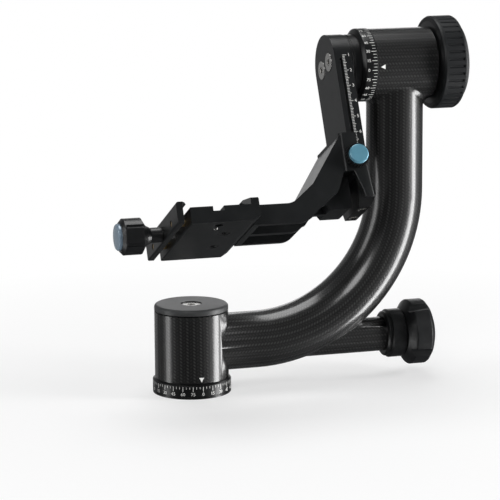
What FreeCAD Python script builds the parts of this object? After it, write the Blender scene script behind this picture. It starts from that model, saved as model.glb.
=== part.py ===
import FreeCAD
import Part
import math
import os

os.makedirs("parts", exist_ok=True)
V = FreeCAD.Vector

# Gimbal head: a round pan base, a curved carbon arm, a tilt axle at its top, a flat swing bar
# that hangs from the axle, and an L-shaped bracket with a dovetail clamp that slides on the bar.
# Frame: the origin is on the pan axis at the underside of the base, +Z up, +X from the base
# towards the arm, -Y towards the side that carries the height lock knob.

# Clearances between pieces.
run_gap = 0.03
seat_gap = 0.02
body_gap = 0.3

# Pan base: the scale ring that bolts to a tripod, and the spindle that it holds.
ring_r = 24.6
ring_h = 9.2
ring_chamfer = 0.9
spindle_foot_r = 12.0
spindle_r = 7.5
spindle_shoulder_r = 9.4
spindle_top = 45.3
insert_r = 7.2
insert_len = 8.4
thread_r = 4.76
base_screw_pcd_r = 18.0
base_screw_head_r = 2.75
base_screw_shank_r = 1.5

# Carbon arm: base tube, curved tube, lock branch and tilt housing, moulded as one shell.
tube_r = 23.2
tube_wall = 2.0
tube_top = 51.6
arm_r = 18.0
arm_wall = 2.2
arm_z = 30.0
bend_start_x = 42.5
bend_r = 92.5
tilt_z = 201.3
housing_r = 22.6
housing_wall = 2.0
upright_x = bend_start_x + bend_r
housing_left_w = 19.0
housing_right_w = 21.2
housing_left_x = upright_x - housing_left_w
housing_right_x = upright_x + housing_right_w
branch_z = 27.4
branch_r = 11.0
branch_wall = 2.2
branch_short = 4.5
branch_end_x = upright_x - branch_short
blend_r = 5.0

# Bearings and inner sleeves.
liner_bore_r = 16.0
bearing_h = 7.0
bearing_lip = 0.6

# Base cap.
cap_h = 3.6
cap_groove = 0.8
cap_round = 1.8
cap_screw_head_r = 6.2
cap_screw_head_h = 1.4
cap_screw_sink = 0.7
cap_screw_shank_r = 2.5

# Pan lock: collar on the branch, lobed knob, rod and brake shoe.
collar_r = 15.5
collar_groove_r = 14.2
collar_lap = 3.5
collar_w = 12.35
collar_left_x = branch_end_x - collar_lap
knob_gap = 0.35
pan_knob_rim_w = 15.5
pan_knob_w = 20.3
pan_knob_left_x = collar_left_x + collar_w + knob_gap
pan_knob_rim_x = pan_knob_left_x + pan_knob_rim_w
pan_knob_end_x = pan_knob_left_x + pan_knob_w
pan_knob_r = 20.9
pan_knob_valley_r = 3.4
pan_knob_lobes = 4
pan_knob_phase = 59.0
rod_r = 3.0
shoe_r = 5.0
shoe_len = 11.6

# Tilt head: axle, scale ring, brake disc and the ribbed lock knob.
tilt_ring_w = 9.4
tilt_ring_left_x = housing_left_x - tilt_ring_w
tilt_ring_r = 23.0
tilt_ring_bevel = 2.6
axle_r = 8.0
neck_r = 19.4
axle_stud_r = 5.0
brake_disc_h = 0.7
tilt_knob_w = 16.2
tilt_knob_left_x = housing_right_x + brake_disc_h + body_gap
tilt_knob_right_x = tilt_knob_left_x + tilt_knob_w
axle_end_x = tilt_knob_right_x - 1.4
tilt_core_r = 26.0
tilt_tyre_t = 3.3
tilt_knob_r = tilt_core_r + tilt_tyre_t
tilt_rib_count = 40
tilt_rib_groove_r = 0.95
tilt_cap_h = 3.4
tilt_cap_end_x = tilt_knob_right_x + tilt_cap_h

# Swing bar, measured from the tilt axis: down is negative Z, the lock knob side is negative Y.
rest_tilt = 26.4
bar_t = 10.85
neck_w = 7.15
bar_left_x = tilt_ring_left_x - neck_w - bar_t
bar_half_w = 19.6
bar_bottom = -78.6
groove_back = 3.1
groove_left_x = bar_left_x + groove_back
groove_w = 1.5
groove_depth = 2.3
groove_top = -2.0
bar_screw_pitch = 14.8
bar_screw_head_r = 5.85
bar_screw_shank_r = 3.0
bar_screw_head_h = 3.2
screw_proud = 0.3
stop_drop = 18.4
stop_screw_r = 1.6
stop_screw_head_r = 3.0

# Height bracket.
slide_top = -51.5
slide_bottom = -76.0
slide_wall = 6.4
slide_left_x = bar_left_x - slide_wall
flange_t = 3.6
arm_setback = 0.7
arm_half_w = bar_half_w + body_gap + flange_t - arm_setback
arm_top = -94.1
arm_bottom = -106.5
gusset_top_z = -49.8
gusset_run = 20.7
gusset_foot_x = slide_left_x - gusset_run
gusset_foot_z = -82.5
gusset_fillet = 22.0
heel_bottom = -96.6
heel_half_w = 14.5
web_half_w = 11.0
channel_wall = 3.2
channel_rib_half = 2.0

# Height lock knob.
lock_in = 2.4
lock_x = bar_left_x + lock_in
lock_z = -67.4
lock_ring_r = 7.3
lock_ring_h = 4.6
lock_cap_r = 6.05
lock_cap_h = 2.3
lock_stud_r = 2.5
gib_h = 1.2

# Clamp.
clamp_half_len = 40.2
clamp_left_x = -22.4
clamp_right_x = 20.3
clamp_under_x = 16.0
clamp_floor = -98.3
clamp_bottom = -108.2
notch_x0 = -8.3
notch_x1 = -1.5
notch_depth = 2.9
jaw_top = -94.4
jaw_tip_drop = 1.0
fixed_tip_x = 10.6
dovetail_depth = 3.0
jaw_t = 4.0
jaw_inner_x = -26.6
jaw_bottom = -107.6
pin_r = 2.0
pin_y = 24.0
pin_z = -103.2
clamp_axis_z = -102.6
clamp_knob_r = 11.1
clamp_knob_left_x = -56.6
clamp_knob_right_x = -41.3
clamp_neck_x = -37.9
clamp_sleeve_r = 4.6
clamp_cap_r = 8.1
clamp_cap_h = 2.6
clamp_screw_r = 3.0
clamp_valleys = 6
clamp_valley_r = 1.3
clamp_valley_phase = 17.0
clamp_bolt_x = 4.0
clamp_bolt_y = 14.0
clamp_bolt_head_r = 3.6
clamp_bolt_shank_r = 2.0
tongue_left_x = -6.5
tongue_top = -101.2
stop_pin_r = 1.4


def save(node, shape):
    """Write one named piece."""
    shape.exportStep("parts/" + node + ".step")


def post(r, z0, z1, x=0.0, y=0.0):
    """Upright cylinder."""
    return Part.makeCylinder(r, z1 - z0, V(x, y, z0), V(0, 0, 1))


def bar_x(r, x0, x1, y=0.0, z=0.0):
    """Cylinder along X."""
    return Part.makeCylinder(r, x1 - x0, V(x0, y, z), V(1, 0, 0))


def bar_y(r, y0, y1, x=0.0, z=0.0):
    """Cylinder along Y."""
    return Part.makeCylinder(r, y1 - y0, V(x, y0, z), V(0, 1, 0))


def block(x0, x1, y0, y1, z0, z1):
    """Box between two corners."""
    return Part.makeBox(x1 - x0, y1 - y0, z1 - z0, V(x0, y0, z0))


def turned(points, z=0.0, upright=False):
    """Solid turned from (distance along axis, radius) points, about X at height z or about Z."""
    if upright:
        corners = [V(r, 0, a) for a, r in points]
        axis = V(0, 0, 1)
    else:
        corners = [V(a, 0, r + z) for a, r in points]
        axis = V(1, 0, 0)
    centre = V(0, 0, 0) if upright else V(0, 0, z)
    wire = Part.makePolygon(corners + [corners[0]])
    return Part.Face(wire).revolve(centre, axis, 360)


def hex_prism(flats, length, at, direction):
    """Hexagonal prism for a socket."""
    r = flats / math.sqrt(3)
    corners = []
    for i in range(7):
        a = math.radians(60 * i)
        corners.append(V(r * math.cos(a), r * math.sin(a), 0))
    prism = Part.Face(Part.makePolygon(corners)).extrude(V(0, 0, length))
    turn = FreeCAD.Rotation(V(0, 0, 1), direction)
    prism.Placement = FreeCAD.Placement(at, turn)
    return prism


def rounded_face(corners):
    """Face in the X-Z plane from (x, z, corner radius) points."""
    n = len(corners)
    joins = []
    for i in range(n):
        x, z, r = corners[i]
        here = V(x, 0, z)
        before = V(corners[i - 1][0], 0, corners[i - 1][1])
        after = V(corners[(i + 1) % n][0], 0, corners[(i + 1) % n][1])
        if r <= 0:
            joins.append((here, None, here))
            continue
        back = (before - here).normalize()
        ahead = (after - here).normalize()
        half = back.getAngle(ahead) / 2
        inward = (back + ahead).normalize()
        centre = here + inward * (r / math.sin(half))
        start = here + back * (r / math.tan(half))
        end = here + ahead * (r / math.tan(half))
        joins.append((start, centre - inward * r, end))
    edges = []
    for i in range(n):
        start, middle, end = joins[i]
        if middle is not None:
            edges.append(Part.Arc(start, middle, end).toShape())
        following = joins[(i + 1) % n][0]
        if (following - end).Length > 1e-6:
            edges.append(Part.makeLine(end, following))
    return Part.Face(Part.Wire(edges))


def slab(corners, y0, y1):
    """Rounded X-Z outline made thick from y0 to y1."""
    face = rounded_face(corners)
    face.translate(V(0, y0, 0))
    return face.extrude(V(0, y1 - y0, 0))


def hang(shape):
    """Swing a piece drawn about the tilt axis to its resting angle and lift it to the axis."""
    placed = shape.copy()
    placed.rotate(V(0, 0, 0), V(1, 0, 0), -rest_tilt)
    placed.translate(V(0, 0, tilt_z))
    return placed


def bearing(outer_r, inner_r, width):
    """Ball bearing drawn upright from z 0: two races and a sunk shield on each side."""
    body = post(outer_r, 0, width).cut(post(inner_r, -1, width + 1))
    third = (outer_r - inner_r) / 3
    ring_out = outer_r - third
    ring_in = inner_r + third
    low = post(ring_out, -1, bearing_lip).cut(post(ring_in, -1, bearing_lip))
    high = post(ring_out, width - bearing_lip, width + 1)
    high = high.cut(post(ring_in, width - bearing_lip, width + 1))
    return body.cut(low).cut(high)


# PAN BASE


def base_scale_ring():
    """Flat ring with a bevelled upper edge, three countersunk holes and a bore for the spindle."""
    ring = turned([(0, 0), (0, ring_r), (ring_h - ring_chamfer, ring_r),
                   (ring_h, ring_r - ring_chamfer), (ring_h, 0)], upright=True)
    ring = ring.cut(post(spindle_foot_r + seat_gap, -1, ring_h + 1))
    groove_z = ring_h * 0.12
    groove = post(ring_r + 1, groove_z, groove_z + 0.6).cut(post(ring_r - 0.5, 0, ring_h))
    ring = ring.cut(groove)
    for i in range(3):
        a = math.radians(30 + 120 * i)
        x = base_screw_pcd_r * math.cos(a)
        y = base_screw_pcd_r * math.sin(a)
        ring = ring.cut(post(base_screw_head_r + 0.1, -1, 3.0, x, y))
        ring = ring.cut(post(base_screw_shank_r + 0.1, 0, 7.0, x, y))
    return ring


def base_screws():
    """Three short screws that hold the ring, heads down."""
    screws = []
    for i in range(3):
        a = math.radians(30 + 120 * i)
        x = base_screw_pcd_r * math.cos(a)
        y = base_screw_pcd_r * math.sin(a)
        screw = post(base_screw_head_r, 0.3, 3.0, x, y)
        screw = screw.fuse(post(base_screw_shank_r, 3.0, 6.8, x, y))
        socket = hex_prism(2.5, 1.5, V(x, y, 0.2), V(0, 0, 1))
        screws.append(screw.cut(socket))
    return Part.makeCompound(screws)


def pan_spindle():
    """Stepped post: foot in the ring, shoulder under the lower bearing, journal and end thread."""
    shoulder_top = ring_h + body_gap
    points = [(0, 0), (0, spindle_foot_r), (ring_h, spindle_foot_r),
              (ring_h, spindle_shoulder_r), (shoulder_top, spindle_shoulder_r),
              (shoulder_top, spindle_r), (spindle_top, spindle_r),
              (spindle_top, 5.0), (spindle_top + 2.4, 5.0), (spindle_top + 2.4, 0)]
    spindle = turned(points, upright=True)
    spindle = spindle.cut(post(insert_r + seat_gap, -1, insert_len))
    spindle = spindle.cut(post(thread_r, 0, insert_len + 8.0))
    return spindle


def base_thread_insert():
    """Steel bush with the tripod thread."""
    bush = post(insert_r, 0.2, insert_len).cut(post(thread_r, 0, insert_len + 1))
    lead_in = Part.makeCone(thread_r + 0.8, thread_r, 0.8, V(0, 0, 0.2), V(0, 0, 1))
    return bush.cut(lead_in)


def spindle_retainer():
    """Round nut with two flats on the spindle's end thread."""
    nut = post(10.5, spindle_top, spindle_top + 2.4)
    nut = nut.cut(post(5.0 + seat_gap, spindle_top - 1, spindle_top + 4))
    for side in (-1, 1):
        flat = block(-12, 12, side * 10.5 - 1.5, side * 10.5 + 1.5, spindle_top, spindle_top + 4)
        nut = nut.cut(flat)
    return nut


# CARBON ARM


def arm_core(r):
    """Straight run, quarter bend and upright run of the curved tube at one radius."""
    straight = bar_x(r, 0, bend_start_x, 0, arm_z)
    circle = Part.makeCircle(r, V(bend_start_x, 0, arm_z), V(1, 0, 0))
    disc = Part.Face(Part.Wire([circle]))
    bend = disc.revolve(V(bend_start_x, 0, arm_z + bend_r), V(0, -1, 0), 90)
    upright = post(r, arm_z + bend_r, tilt_z, bend_start_x + bend_r)
    return straight.fuse([bend, upright])


def carbon_arm():
    """Moulded shell with blended joints between base tube, curved tube, branch and housing."""
    tube_low = ring_h + body_gap
    outer = arm_core(arm_r)
    outer = outer.fuse([post(tube_r, tube_low, tube_top),
                        bar_x(housing_r, housing_left_x, housing_right_x, 0, tilt_z),
                        bar_x(branch_r, bend_start_x, branch_end_x, 0, branch_z)])
    outer = outer.removeSplitter()
    seams = []
    for edge in outer.Edges:
        middle = edge.CenterOfMass
        box = edge.BoundBox
        is_base_seam = box.XMax < tube_r + 2 and box.YLength > arm_r and box.ZLength > arm_r
        is_top_seam = middle.z > tilt_z - housing_r and box.ZMax < tilt_z - 2 and box.ZLength > 2
        if is_base_seam or is_top_seam:
            seams.append(edge)
    outer = outer.makeFillet(blend_r, seams)
    shell = outer.cut(post(tube_r - tube_wall, tube_low - 1, tube_top + 1))
    hollow = arm_core(arm_r - arm_wall).cut(post(tube_r - 0.1, 0, tilt_z))
    shell = shell.cut(hollow)
    shell = shell.cut(bar_x(branch_r - branch_wall, bend_start_x, branch_end_x + 1, 0, branch_z))
    shell = shell.cut(bar_x(rod_r + 2.0, tube_r - 4, bend_start_x, 0, branch_z))
    bore_r = housing_r - housing_wall
    shell = shell.cut(bar_x(bore_r, housing_left_x - 1, housing_right_x + 1, 0, tilt_z))
    return shell


def base_liner():
    """Metal sleeve in the base tube with two bearing seats, a top web and a hole for the shoe."""
    outer_r = tube_r - tube_wall - seat_gap
    low = ring_h + body_gap + 0.3
    web_low = spindle_top + 3.2
    sleeve = post(outer_r, low, tube_top).cut(post(liner_bore_r, low - 1, web_low))
    land = post(liner_bore_r, low + bearing_h + 0.4, spindle_top - body_gap - bearing_h)
    land = land.cut(post(liner_bore_r - 1.6, low, web_low))
    sleeve = sleeve.fuse(land)
    sleeve = sleeve.cut(post(cap_screw_shank_r + seat_gap, web_low - 1, tube_top + 1))
    sleeve = sleeve.cut(bar_x(shoe_r + run_gap, 0, tube_r + 1, 0, branch_z))
    return sleeve


def pan_bearings():
    """Lower and upper ball bearings on the spindle, seated in the sleeve."""
    low = ring_h + body_gap + 0.3
    land_low = low + bearing_h + 0.4
    land_high = spindle_top - body_gap - bearing_h
    outer_r = liner_bore_r - seat_gap
    inner_r = spindle_r + run_gap
    first = bearing(outer_r, inner_r, bearing_h)
    second = first.copy()
    first.translate(V(0, 0, land_low - bearing_h))
    second.translate(V(0, 0, land_high))
    return Part.makeCompound([first, second])


def base_cap():
    """Round lid with a rolled edge, a spigot that leaves a groove below it, and a sunk seat."""
    low = tube_top + cap_groove
    lid = post(tube_r, low, low + cap_h)
    top_edges = []
    for edge in lid.Edges:
        if edge.BoundBox.ZMin > low + cap_h - 0.1 and edge.BoundBox.XLength > tube_r:
            top_edges.append(edge)
    lid = lid.makeFillet(cap_round, top_edges)
    lid = lid.fuse(post(tube_r - tube_wall - 0.6, tube_top, low))
    seat = low + cap_h - cap_screw_sink - cap_screw_head_h
    lid = lid.cut(post(cap_screw_head_r + 0.35, seat, low + cap_h + 1))
    return lid.cut(post(cap_screw_shank_r + 0.1, tube_top - 1, low + cap_h))


def base_cap_screw():
    """Low flat screw with a hexagon socket."""
    seat = tube_top + cap_groove + cap_h - cap_screw_sink - cap_screw_head_h
    tip = spindle_top + 3.4
    screw = post(cap_screw_head_r, seat, seat + cap_screw_head_h)
    screw = screw.fuse(post(cap_screw_shank_r, tip, seat))
    socket = hex_prism(5.0, 4.0, V(0, 0, seat + cap_screw_head_h * 0.35), V(0, 0, 1))
    return screw.cut(socket)


# PAN LOCK


def pan_brake_shoe():
    """Brass plug that the rod presses on the spindle, with a hollowed nose."""
    start = spindle_r - 1.6
    plug = bar_x(shoe_r, start, spindle_r + body_gap + shoe_len, 0, branch_z)
    return plug.cut(post(spindle_r + body_gap, 0, tube_top))


def pan_lock_rod():
    """Long rod from the shoe to the knob, thicker where it is threaded."""
    start = spindle_r + 2 * body_gap + shoe_len
    rod = bar_x(rod_r, start, pan_knob_end_x - 3.0, 0, branch_z)
    thread = bar_x(rod_r + 1.0, collar_left_x + 5.0, pan_knob_left_x - knob_gap, 0, branch_z)
    return rod.fuse(thread)


def pan_lock_collar():
    """Threaded metal collar on the branch, with a ring groove, in which the rod turns."""
    points = [(collar_left_x, 0), (collar_left_x, 13.0), (collar_left_x + 1.0, 14.4),
              (collar_left_x + 1.8, collar_groove_r), (collar_left_x + 2.8, collar_groove_r),
              (collar_left_x + 3.4, collar_r), (pan_knob_left_x - knob_gap - 0.5, collar_r),
              (pan_knob_left_x - knob_gap, collar_r - 0.5), (pan_knob_left_x - knob_gap, 0)]
    collar = turned(points, branch_z)
    collar = collar.cut(bar_x(branch_r + seat_gap, collar_left_x - 1, branch_end_x, 0, branch_z))
    return collar.cut(bar_x(rod_r + 1.0 + run_gap, collar_left_x, pan_knob_left_x, 0, branch_z))


def pan_lock_knob():
    """Four broad lobes with narrow valleys that run deeper towards the collar, domed end."""
    x0 = pan_knob_left_x
    points = [(x0, 0), (x0, collar_r - 0.8), (x0 + 0.6, collar_r), (x0 + 4.2, pan_knob_r - 0.5),
              (x0 + 5.0, pan_knob_r), (pan_knob_rim_x - 1.2, pan_knob_r),
              (pan_knob_rim_x - 0.2, pan_knob_r - 0.6), (pan_knob_rim_x + 1.8, pan_knob_r - 3.2),
              (pan_knob_rim_x + 3.4, pan_knob_r - 6.8), (pan_knob_end_x - 0.3, 9.0),
              (pan_knob_end_x, 6.0), (pan_knob_end_x, 0)]
    knob = turned(points, branch_z)
    for i in range(pan_knob_lobes):
        angle = pan_knob_phase + i * 360.0 / pan_knob_lobes
        slope = math.radians(5.0)
        valley = Part.makeCylinder(pan_knob_valley_r, 40, V(x0 - 8, 0, pan_knob_r - 0.6),
                                   V(math.cos(slope), 0, math.sin(slope)))
        valley.rotate(V(0, 0, 0), V(1, 0, 0), 90 - angle)
        valley.translate(V(0, 0, branch_z))
        knob = knob.cut(valley)
    return knob.cut(bar_x(rod_r + seat_gap, x0 - 1, pan_knob_end_x - 2.9, 0, branch_z))


# TILT HEAD


def housing_liner():
    """Metal sleeve in the tilt housing with a bearing seat at each end."""
    outer_r = housing_r - housing_wall - seat_gap
    sleeve = bar_x(outer_r, housing_left_x, housing_right_x, 0, tilt_z)
    left = bar_x(liner_bore_r, housing_left_x - 1, housing_left_x + bearing_h + 0.3, 0, tilt_z)
    right = bar_x(liner_bore_r, housing_right_x - bearing_h - 0.3, housing_right_x + 1, 0, tilt_z)
    middle = bar_x(liner_bore_r - 1.6, housing_left_x, housing_right_x, 0, tilt_z)
    return sleeve.cut(left).cut(right).cut(middle)


def tilt_bearings():
    """Left and right ball bearings of the tilt axle."""
    pair = []
    for x in (housing_left_x + 0.3, housing_right_x - bearing_h - 0.3):
        race = bearing(liner_bore_r - seat_gap, axle_r + run_gap, bearing_h)
        race.rotate(V(0, 0, 0), V(0, 1, 0), 90)
        race.translate(V(x, 0, tilt_z))
        pair.append(race)
    return Part.makeCompound(pair)


def tilt_axle():
    """Axle with the broad stepped neck that carries the bar, and a threaded outer end."""
    neck_x = bar_left_x + bar_t
    points = [(neck_x, 0), (neck_x, neck_r), (neck_x + 1.2, neck_r), (neck_x + 1.6, neck_r - 0.5),
              (neck_x + 2.4, neck_r - 0.5), (neck_x + 2.8, neck_r), (tilt_ring_left_x, neck_r),
              (tilt_ring_left_x, 12.0), (housing_left_x - body_gap, 12.0),
              (housing_left_x - body_gap, axle_r), (housing_right_x, axle_r),
              (housing_right_x, axle_stud_r), (axle_end_x, axle_stud_r), (axle_end_x, 0)]
    axle = turned(points, tilt_z)
    for side in (-1, 1):
        y = side * bar_screw_pitch / 2
        hole = bar_x(bar_screw_shank_r + seat_gap, neck_x - 1, neck_x + 7.5, y, 0)
        axle = axle.cut(hang(hole))
    return axle


def tilt_scale_ring():
    """Graduated ring on the axle with a bevelled left edge."""
    x0 = tilt_ring_left_x
    x1 = housing_left_x - 0.4
    points = [(x0, 12.0 + seat_gap), (x0, tilt_ring_r - tilt_ring_bevel),
              (x0 + tilt_ring_bevel * 0.6, tilt_ring_r - 0.2), (x0 + tilt_ring_bevel, tilt_ring_r),
              (x1, tilt_ring_r), (x1, 12.0 + seat_gap)]
    return turned(points, tilt_z)


def tilt_brake_disc():
    """Thin friction disc between the housing and the lock knob."""
    x0 = housing_right_x
    disc = bar_x(19.0, x0, x0 + brake_disc_h, 0, tilt_z)
    return disc.cut(bar_x(axle_r + 1.0, x0 - 1, x0 + 2, 0, tilt_z))


def tilt_knob_core():
    """Metal core of the lock knob, dished behind its threaded hub."""
    x0 = tilt_knob_left_x
    x1 = tilt_knob_right_x
    points = [(x0, 0), (x0, tilt_core_r - 5.0), (x0 + 0.4, tilt_core_r), (x1, tilt_core_r), (x1, 0)]
    core = turned(points, tilt_z)
    dish = bar_x(tilt_core_r - 3.0, x0 + 5.0, x1 + 1, 0, tilt_z)
    dish = dish.cut(bar_x(9.0, x0, x1, 0, tilt_z))
    core = core.cut(dish)
    return core.cut(bar_x(axle_stud_r + run_gap, x0 - 1, x1 + 1, 0, tilt_z))


def tilt_knob_tyre():
    """Rubber tyre with smooth shoulders and a ribbed middle."""
    x0 = tilt_knob_left_x
    x1 = tilt_knob_right_x
    low = tilt_core_r + seat_gap
    points = [(x0 + 0.4, low), (x0 + 0.4, tilt_knob_r - 1.6), (x0 + 0.8, tilt_knob_r - 0.6),
              (x0 + 1.8, tilt_knob_r), (x1 - 1.4, tilt_knob_r), (x1 - 0.4, tilt_knob_r - 0.6),
              (x1, tilt_knob_r - 1.6), (x1, low)]
    tyre = turned(points, tilt_z)
    grooves = []
    for i in range(tilt_rib_count):
        a = 2 * math.pi * i / tilt_rib_count
        r = tilt_knob_r + 0.3
        y = r * math.cos(a)
        z = tilt_z + r * math.sin(a)
        grooves.append(bar_x(tilt_rib_groove_r, x0 + 3.4, x1 - 2.2, y, z))
    return tyre.cut(grooves)


def tilt_knob_cap():
    """Round end cover pressed in the knob."""
    x0 = tilt_knob_right_x
    x1 = tilt_cap_end_x
    points = [(x0 - 3.0, 0), (x0 - 3.0, tilt_core_r - 3.0 - seat_gap),
              (x0, tilt_core_r - 3.0 - seat_gap), (x0, tilt_core_r), (x0 + 1.2, tilt_core_r),
              (x0 + 2.4, tilt_core_r - 1.4), (x1, tilt_core_r - 5.0), (x1, 0)]
    cap = turned(points, tilt_z)
    return cap.cut(bar_x(9.6, x0 - 4, x0 + 0.4, 0, tilt_z))


# SWING BAR, drawn about the tilt axis at the origin


def swing_bar():
    """Flat bar with a round head, a rail groove down each edge and two screw seats."""
    x0 = bar_left_x
    x1 = bar_left_x + bar_t
    bar = bar_x(bar_half_w, x0, x1).fuse(block(x0, x1, -bar_half_w, bar_half_w, bar_bottom, 0))
    bar = bar.removeSplitter()
    for side in (-1, 1):
        inner = side * (bar_half_w - groove_depth)
        outer = side * (bar_half_w + 1)
        y0 = min(inner, outer)
        y1 = max(inner, outer)
        groove = block(groove_left_x, groove_left_x + groove_w, y0, y1, bar_bottom - 1, groove_top)
        bar = bar.cut(groove)
        y = side * bar_screw_pitch / 2
        bar = bar.cut(bar_x(bar_screw_shank_r + 0.1, x0 - 1, x1 + 1, y))
        bar = bar.cut(bar_x(bar_screw_head_r + 0.2, x0 - 1, x0 + bar_screw_head_h, y))
        hole = post(stop_screw_r + seat_gap, bar_bottom - 1, bar_bottom + 7.0,
                    (x0 + x1) / 2 + 1.2, side * 9.0)
        bar = bar.cut(hole)
    return bar


def swing_bar_screws():
    """Two flat socket screws that hold the bar on the axle's neck."""
    screws = []
    x0 = bar_left_x
    for side in (-1, 1):
        y = side * bar_screw_pitch / 2
        head = bar_x(bar_screw_head_r, x0 - screw_proud, x0 + bar_screw_head_h, y)
        head = head.fuse(bar_x(bar_screw_shank_r, x0 + bar_screw_head_h, x0 + bar_t + 7.0, y))
        socket = hex_prism(4.0, 3.0, V(x0 - screw_proud - 0.5, y, 0), V(1, 0, 0))
        screws.append(head.cut(socket))
    return Part.makeCompound(screws)


def bar_end_stop():
    """Wedge-shaped foot at the bar's lower end that keeps the bracket on the rail."""
    x1 = bar_left_x + bar_t
    top = bar_bottom
    low = bar_bottom - stop_drop
    foot = slab([(x1 - 8.2, top, 0), (x1, top, 0), (x1 + 2.8, top - 11.6, 1.0),
                 (x1 - 0.6, low, 1.0), (x1 - 8.2, low, 0)], -bar_half_w, bar_half_w)
    for side in (-1, 1):
        cut = Part.makePolygon([V(0, side * bar_half_w, top - 8.0), V(0, side * heel_half_w, low),
                                V(0, side * (bar_half_w + 5), low - 1),
                                V(0, side * (bar_half_w + 5), top - 8.0),
                                V(0, side * bar_half_w, top - 8.0)])
        wedge = Part.Face(cut).extrude(V(30, 0, 0))
        wedge.translate(V(x1 - 15, 0, 0))
        foot = foot.cut(wedge)
        x = bar_left_x + bar_t / 2 + 1.2
        foot = foot.cut(post(stop_screw_r + 0.1, low - 1, top + 1, x, side * 9.0))
        foot = foot.cut(post(stop_screw_head_r + 0.2, low - 1, low + 3.4, x, side * 9.0))
    return foot


def end_stop_screws():
    """Two socket screws that hold the foot under the bar."""
    screws = []
    low = bar_bottom - stop_drop
    x = bar_left_x + bar_t / 2 + 1.2
    for side in (-1, 1):
        y = side * 9.0
        screw = post(stop_screw_head_r, low + 0.4, low + 3.4, x, y)
        screw = screw.fuse(post(stop_screw_r, low + 3.4, bar_bottom + 6.5, x, y))
        screws.append(screw.cut(hex_prism(2.5, 1.6, V(x, y, low), V(0, 0, 1))))
    return Part.makeCompound(screws)


# HEIGHT BRACKET, drawn about the tilt axis at the origin


def height_bracket():
    """L-shaped bracket: hooked slide, sloping gusset, flat arm hollowed from below, heel."""
    back = bar_left_x - body_gap
    outer_y = bar_half_w + body_gap + flange_t
    gusset_top_x = slide_left_x + 1.0
    body = slab([(back, gusset_top_z - 3, 0), (gusset_top_x, gusset_top_z - 2.2, 0),
                 (gusset_foot_x, gusset_foot_z, 0),
                 (gusset_foot_x - 14.5, arm_top, gusset_fillet * 0.5),
                 (clamp_right_x + seat_gap, arm_top, 0), (clamp_right_x + seat_gap, arm_bottom, 0),
                 (back - 34.3, arm_bottom, 12.0), (back - 22.3, heel_bottom, 4.0), (back, heel_bottom, 3.0)],
                -arm_half_w, arm_half_w)
    slide = block(slide_left_x, bar_left_x, -outer_y, outer_y, slide_bottom, slide_top)
    slide = slide.fuse(block(slide_left_x, groove_left_x + groove_w - run_gap, -outer_y, outer_y,
                             slide_bottom, slide_top))
    edges = []
    for edge in slide.Edges:
        box = edge.BoundBox
        if box.XMax < slide_left_x + 0.1 and box.ZLength > 5:
            edges.append(edge)
    slide = slide.makeFillet(2.4, edges)
    body = body.fuse(slide).removeSplitter()
    rail = block(bar_left_x - body_gap, groove_left_x + run_gap, -bar_half_w - run_gap,
                 bar_half_w + run_gap, bar_bottom - 40, 10)
    throat = block(bar_left_x, bar_left_x + bar_t, -bar_half_w + groove_depth - run_gap,
                   bar_half_w - groove_depth + run_gap, bar_bottom - 40, 10)
    body = body.cut(rail).cut(throat)
    for side in (-1, 1):
        y0 = min(side * web_half_w, side * (arm_half_w + 6))
        y1 = max(side * web_half_w, side * (arm_half_w + 6))
        pocket = slab([(slide_left_x, slide_bottom - 0.1, 2.0), (back + 5, slide_bottom - 0.1, 0),
                       (back + 5, arm_bottom - 3.5, 0), (back - 33.8, arm_bottom - 3.5, 0),
                       (back - 27.3, arm_bottom + 2.5, 9.0), (back - 18.8, arm_bottom + 13.0, 8.0),
                       (back - 11.8, arm_top + 5.1, 6.0)], y0, y1)
        body = body.cut(pocket)
        inner = side * (arm_half_w - channel_wall)
        rib = side * channel_rib_half
        y0 = min(inner, rib)
        y1 = max(inner, rib)
        channel = slab([(clamp_right_x + 4.0, arm_bottom - 1, 0),
                        (clamp_right_x + 4.0, arm_top - 4.6, 2.0),
                        (back - 36.3, arm_top - 4.6, 6.0), (back - 20.3, arm_top + 6.1, 6.0),
                        (back - 12.3, arm_top - 5.9, 0), (back - 12.3, arm_bottom - 5.5, 0)],
                       y0, y1)
        body = body.cut(channel)
        outer = side * (arm_half_w + 5)
        trim = block(back - 16.3, back + 1, min(side * heel_half_w, outer),
                     max(side * heel_half_w, outer), arm_bottom - 5.5, arm_top + 1.1)
        body = body.cut(trim)
        bolt_y = side * clamp_bolt_y
        body = body.cut(post(clamp_bolt_shank_r + seat_gap, arm_bottom - 9, arm_top + 1,
                             clamp_bolt_x, bolt_y))
    tongue = block(tongue_left_x, clamp_right_x + 4.2, -arm_half_w + 3.0, arm_half_w - 3.0,
                   arm_bottom + 0.4, tongue_top)
    for side in (-1, 1):
        tongue = tongue.cut(post(clamp_bolt_shank_r + seat_gap, arm_bottom, tongue_top + 1,
                                 clamp_bolt_x, side * clamp_bolt_y))
    body = body.fuse(tongue)
    hole = bar_y(lock_stud_r + run_gap, -outer_y - 1, -bar_half_w, lock_x, lock_z)
    boss = bar_y(lock_ring_r, -outer_y, -bar_half_w - body_gap, lock_x, lock_z)
    boss = boss.cut(block(0, slide_left_x, -2 * arm_half_w, 0, arm_bottom, 0))
    body = body.fuse(boss).cut(hole)
    gib_seat = block(lock_x - 5.0, lock_x + 7.4, -bar_half_w - 2 * body_gap - gib_h, -bar_half_w + 3,
                     lock_z - 5.0, lock_z + 5.0)
    return body.cut(gib_seat)


def height_gib():
    """Small brass pad between the lock stud and the edge of the bar."""
    y1 = -bar_half_w - body_gap
    pad = block(groove_left_x + groove_w + 0.2, lock_x + 7.0, y1 - gib_h, y1,
                lock_z - 4.7, lock_z + 4.7)
    return pad


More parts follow.
